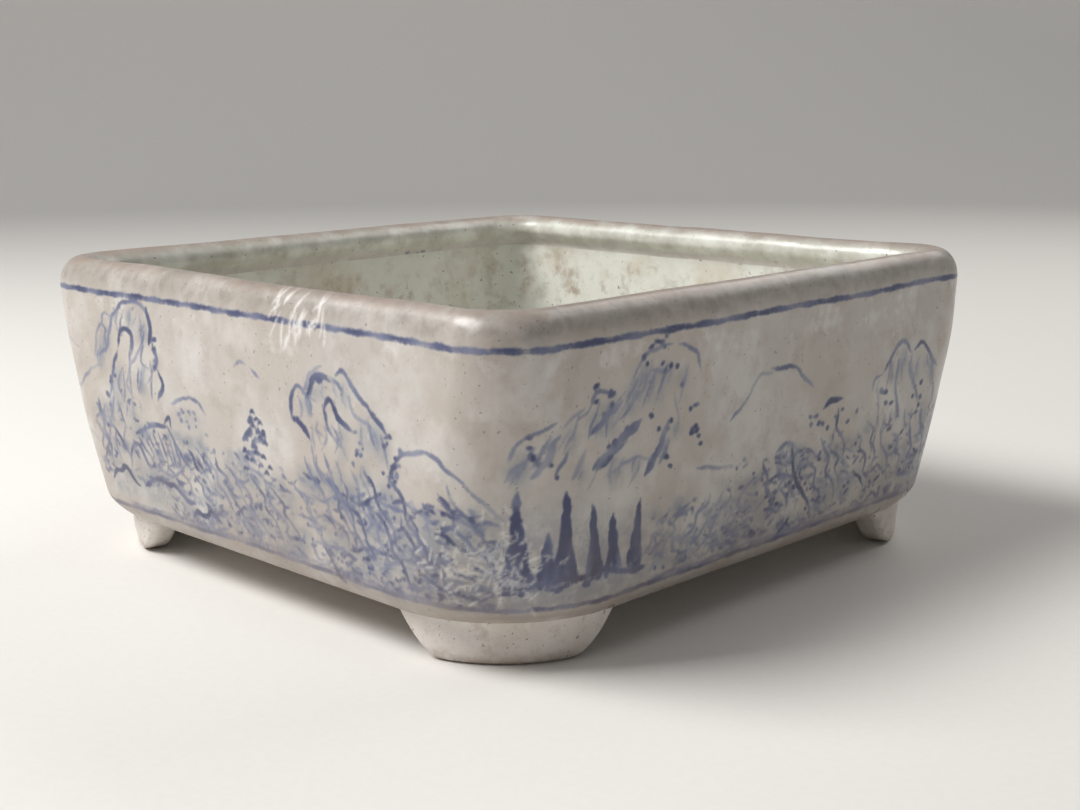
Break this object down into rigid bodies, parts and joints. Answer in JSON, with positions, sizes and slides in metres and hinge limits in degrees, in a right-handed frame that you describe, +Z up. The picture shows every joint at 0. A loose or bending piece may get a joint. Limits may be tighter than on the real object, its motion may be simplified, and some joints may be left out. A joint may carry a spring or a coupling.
{
  "type": "bonsai pot",
  "caption": "Square ceramic bonsai pot with rounded corners, a rolled in-turned rim, corner bracket feet, floor drain holes and blue hand-painted landscape on pale glaze.",
  "frame": {"origin": "on the table under the middle of the pot", "axes": "+Z up; the four walls face +X, -X, +Y and -Y, and wall_front faces -Y"},
  "size_m": [0.24, 0.24, 0.105],
  "materials": {
    "glaze_outside": "satin",
    "glaze_inside": "gloss",
    "foot_clay": "satin"
  },
  "bodies": {
    "root": {"floor_slab": "glaze_inside", "wall_front": "glaze_outside", "wall_right": "glaze_outside", "wall_back": "glaze_outside", "wall_left": "glaze_outside", "rim_coil": "glaze_outside", "foot_front_right": "foot_clay", "foot_back_right": "foot_clay", "foot_back_left": "foot_clay", "foot_front_left": "foot_clay"}
  },
  "joints": []
}
